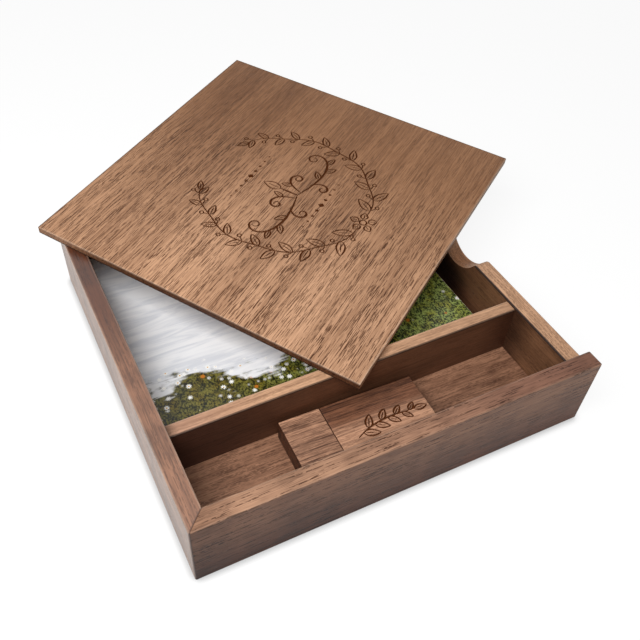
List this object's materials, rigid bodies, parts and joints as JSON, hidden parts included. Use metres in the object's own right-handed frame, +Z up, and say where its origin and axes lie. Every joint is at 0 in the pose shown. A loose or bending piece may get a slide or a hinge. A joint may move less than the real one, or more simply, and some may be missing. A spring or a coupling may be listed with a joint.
{
  "type": "photo storage box",
  "caption": "Shallow square walnut box with a sliding lid laid askew on top, a divider, photo prints in the large bay and a wooden flash drive in the small one.",
  "frame": {"origin": "centre of the box's underside, on the surface that it stands on", "axes": "+X along the front wall towards the end where the lid slides in, +Y from the front wall to the back wall, +Z up"},
  "size_m": [0.2286, 0.2601, 0.0446],
  "materials": {
    "wall_wood": "satin",
    "floor_wood": "satin",
    "divider_wood": "satin",
    "lid_wood": "satin",
    "drive_wood": "satin",
    "print_face": "satin",
    "print_paper": "satin",
    "magnet": "polished",
    "plug_steel": "satin",
    "plug_plastic": "matte",
    "contact_gilt": "polished",
    "board_green": "gloss",
    "chip_black": "matte",
    "crystal_can": "satin",
    "capacitor_ceramic": "matte"
  },
  "bodies": {
    "box": {"front_wall": "wall_wood", "back_wall": "wall_wood", "left_wall": "wall_wood", "right_wall": "wall_wood", "floor_panel": "floor_wood", "divider": "divider_wood"},
    "lid": {"lid": "lid_wood"},
    "prints": {"top_print": "print_face", "print_stack": "print_paper"},
    "drive": {"drive_body": "drive_wood", "body_magnets": "magnet", "plug_shell": "plug_steel", "plug_tongue": "plug_plastic", "plug_contacts": "contact_gilt", "drive_board": "board_green", "memory_chip": "chip_black", "controller_chip": "chip_black", "clock_crystal": "crystal_can", "board_capacitors": "capacitor_ceramic"},
    "cap": {"drive_cap": "drive_wood", "cap_magnets": "magnet"}
  },
  "joints": [
    {"name": "lid_lift", "type": "slide", "parent": "box", "child": "lid", "axis": [0, 0, 1], "range_m": [0, 0.12]},
    {"name": "prints_lift", "type": "slide", "parent": "box", "child": "prints", "axis": [0, 0, 1], "range_m": [0, 0.015]},
    {"name": "drive_slide", "type": "slide", "parent": "box", "child": "drive", "axis": [1, 0, 0], "range_m": [-0.026, 0.05]},
    {"name": "cap_pull", "type": "slide", "parent": "drive", "child": "cap", "axis": [-0.9997, 0.0234, 0], "range_m": [0, 0.016]}
  ]
}
